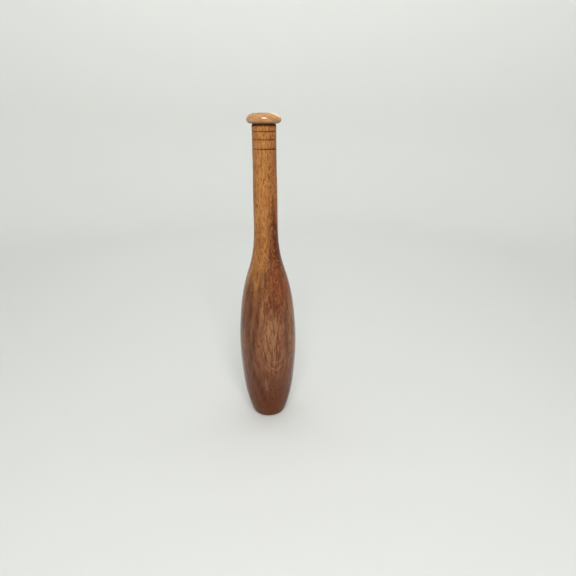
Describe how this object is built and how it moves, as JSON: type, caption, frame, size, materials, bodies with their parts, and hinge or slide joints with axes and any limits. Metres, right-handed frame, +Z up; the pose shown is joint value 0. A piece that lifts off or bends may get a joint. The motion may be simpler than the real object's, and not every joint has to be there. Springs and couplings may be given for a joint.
{
  "type": "juggling club",
  "caption": "Turned wooden swinging and juggling club with a long belly, slim handle, scored grip rings and a disc knob.",
  "frame": {"origin": "middle of the flat base, on the turning axis", "axes": "+Z up the turning axis from the base to the knob; the tenon's wedge runs along X"},
  "size_m": [0.0964, 0.0964, 0.508],
  "materials": {
    "body_wood": "clear gloss varnish over reddish brown hardwood",
    "knob_wood": "clear gloss varnish over golden brown hardwood",
    "wedge_wood": "clear gloss varnish over dark hardwood",
    "plug_wood": "clear varnish over pale hardwood dowel"
  },
  "bodies": {
    "root": {"club_body": "body_wood", "end_knob": "knob_wood", "tenon_wedge": "wedge_wood", "base_plug": "plug_wood"}
  },
  "joints": []
}
